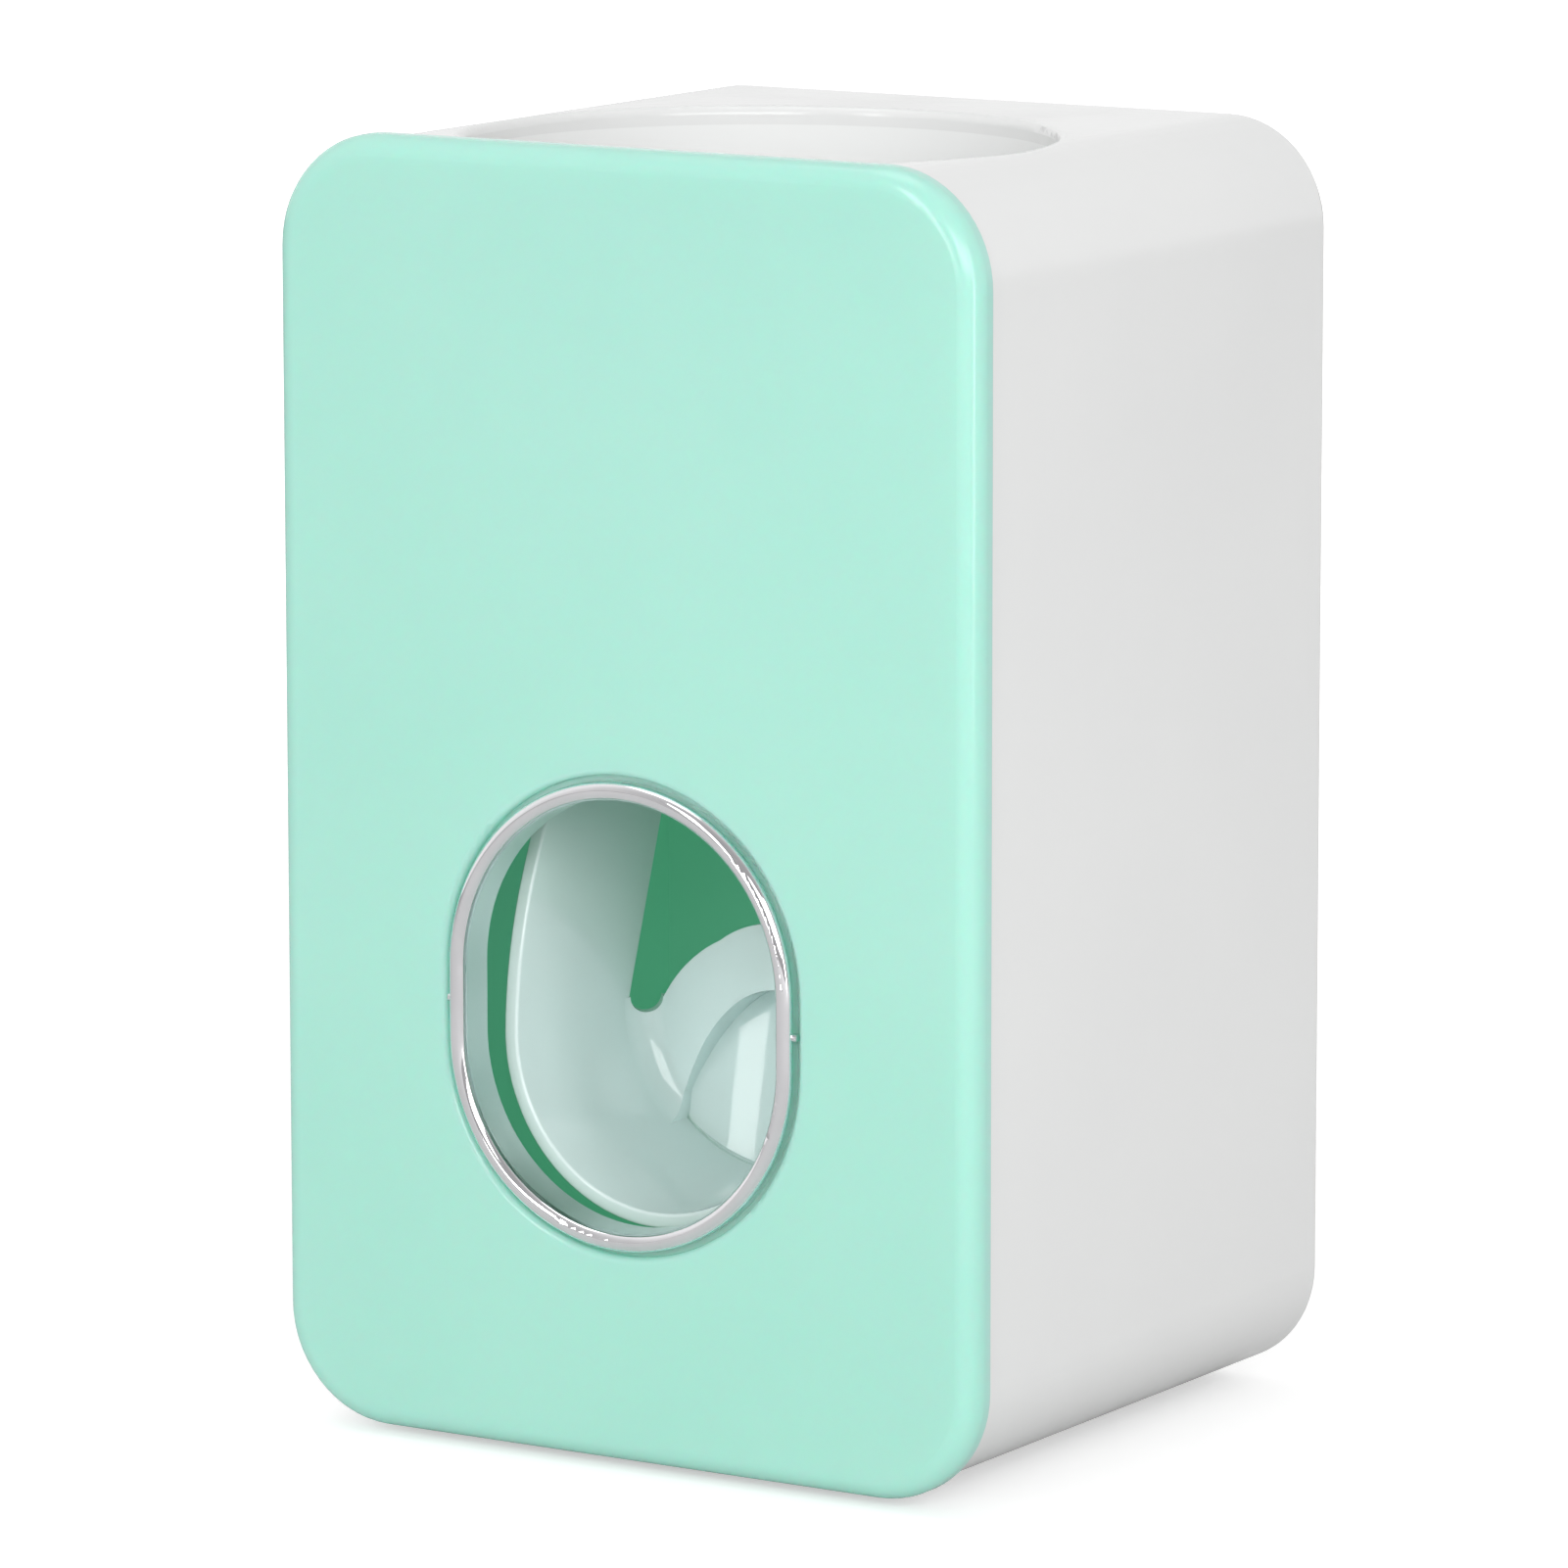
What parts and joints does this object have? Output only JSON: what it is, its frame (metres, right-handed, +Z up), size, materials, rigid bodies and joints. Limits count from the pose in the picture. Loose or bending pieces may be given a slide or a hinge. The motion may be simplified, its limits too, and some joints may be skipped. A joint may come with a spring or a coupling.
{
  "type": "toothpaste dispenser",
  "caption": "Upright push-to-dispense toothpaste dispenser with a mint front cover, an oval brush window with a chrome ring, a white scoop lever and an open tube well in the top.",
  "frame": {"origin": "on the surface it stands on, under the middle of the overall box", "axes": "+Z up, -Y the front with the brush window, +X the viewer's right when facing the front"},
  "size_m": [0.0944, 0.082, 0.1524],
  "materials": {
    "mint_abs": "gloss mint green ABS",
    "white_abs": "gloss white ABS",
    "chrome_trim": "plated plastic",
    "white_acetal": "satin white acetal",
    "silicone": "milky silicone",
    "steel": "stainless",
    "grey_rubber": "matt grey rubber"
  },
  "bodies": {
    "housing": {"housing": "white_abs", "tube_well": "white_abs", "well_gasket": "silicone", "seal_collar": "white_acetal", "tube_seal": "silicone", "inlet_valve": "silicone", "pump_body": "white_acetal", "duct_plugs": "white_acetal", "nozzle": "white_acetal", "nozzle_o_ring": "silicone", "outlet_valve": "silicone", "bellows": "silicone", "bellows_clamp": "white_acetal", "return_spring": "steel", "pump_frame": "white_acetal", "frame_screws": "steel", "pump_screws": "steel", "pivot_pins": "steel", "pin_clips": "steel", "rubber_feet": "grey_rubber"},
    "cover": {"front_cover": "mint_abs", "window_ring": "chrome_trim"},
    "lever": {"push_lever": "white_abs"},
    "plunger": {"press_cap": "white_acetal", "stem_washer": "steel"}
  },
  "joints": [
    {"name": "lever_swing", "type": "hinge", "parent": "housing", "child": "lever", "pos_m": [0, -0.00805, 0.1031], "axis": [1, 0, 0], "range_deg": [0, 12], "stiffness_Nm_per_rad": 0.8, "springref_deg": -5.73},
    {"name": "cap_slide", "type": "slide", "parent": "housing", "child": "plunger", "axis": [0, 1, 0], "range_m": [0, 0.0042], "deforming": ["bellows", "return_spring"]},
    {"name": "cover_pull", "type": "slide", "parent": "housing", "child": "cover", "axis": [0, -1, 0], "range_m": [0, 0.025]}
  ],
  "couplings": [
    {"joint": "cap_slide", "follows": "lever_swing", "m_per_rad": 0.019}
  ]
}
